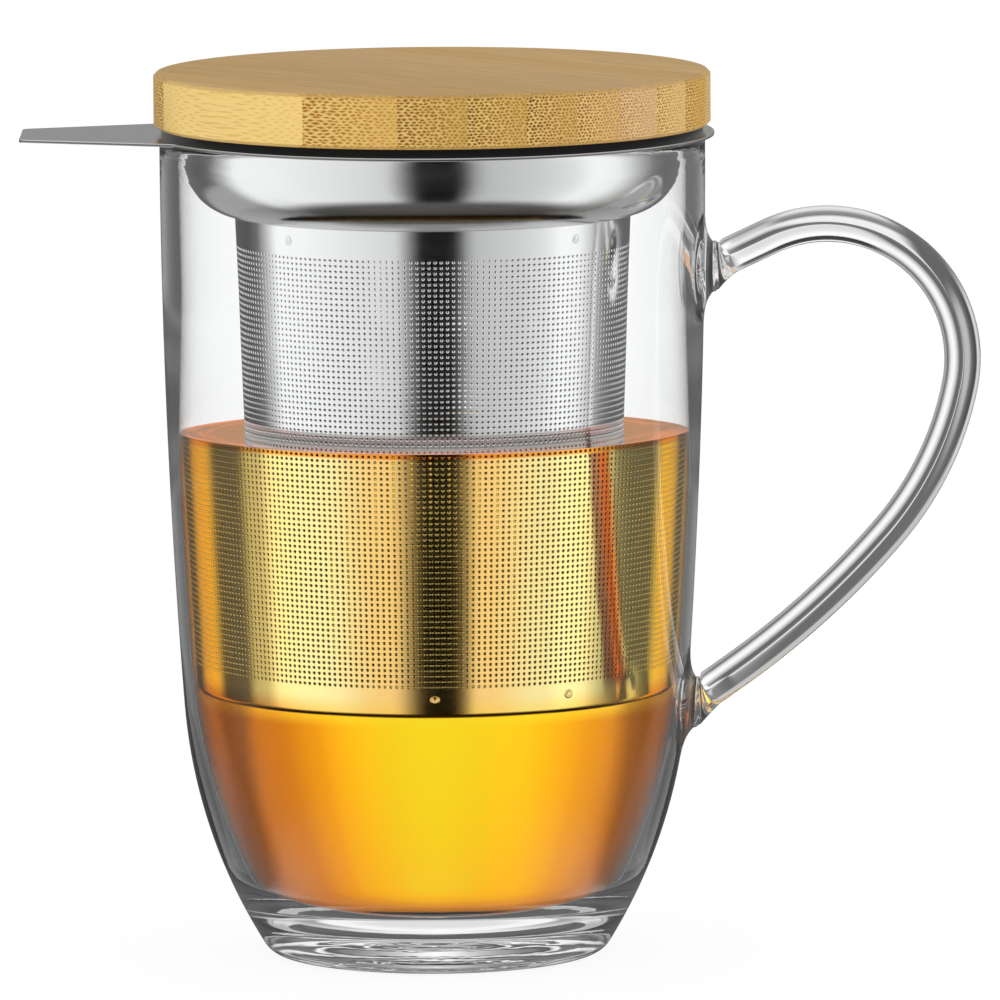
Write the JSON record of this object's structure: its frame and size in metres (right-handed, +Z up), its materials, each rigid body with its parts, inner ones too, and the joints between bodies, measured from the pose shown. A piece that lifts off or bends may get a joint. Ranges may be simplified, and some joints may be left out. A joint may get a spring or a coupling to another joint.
{
  "type": "lidded tea mug with infuser",
  "caption": "Tall clear glass mug with a glass rod handle, a perforated steel basket infuser hung from its rim by a flange with a finger tab, and a round laminated bamboo lid.",
  "frame": {"origin": "centre of the mug's round rest face", "axes": "+Z up along the mug's axis, +X towards the handle, -X towards the finger tab, -Y towards the viewer"},
  "size_m": [0.1551, 0.0912, 0.1436],
  "materials": {
    "clear_glass": "clear, fire-polished",
    "pressed_steel": "satin, bright",
    "etched_steel": "satin, etched with fine holes",
    "bamboo_light": "light laminated bamboo, oiled",
    "bamboo_gold": "golden laminated bamboo, oiled",
    "bamboo_brown": "brown laminated bamboo, oiled",
    "black_silicone": "smooth, slightly glossy"
  },
  "bodies": {
    "mug": {"glass_cup": "clear_glass", "glass_handle": "clear_glass"},
    "infuser": {"infuser_collar": "pressed_steel", "basket_wall": "etched_steel", "basket_bottom_cup": "etched_steel", "neck_spot_welds": "pressed_steel", "cup_spot_welds": "pressed_steel"},
    "lid": {"lid_strip_01": "bamboo_light", "lid_strip_02": "bamboo_light", "lid_strip_03": "bamboo_gold", "lid_strip_04": "bamboo_gold", "lid_strip_05": "bamboo_gold", "lid_strip_06": "bamboo_gold", "lid_strip_07": "bamboo_brown", "lid_strip_08": "bamboo_brown", "lid_strip_09": "bamboo_brown", "lid_strip_10": "bamboo_light", "lid_strip_11": "bamboo_gold", "lid_seal": "black_silicone"}
  },
  "joints": [
    {"name": "infuser_lift", "type": "slide", "parent": "mug", "child": "infuser", "axis": [0, 0, 1], "range_m": [0, 0.1]},
    {"name": "lid_lift", "type": "slide", "parent": "infuser", "child": "lid", "axis": [0, 0, 1], "range_m": [0, 0.04]}
  ]
}
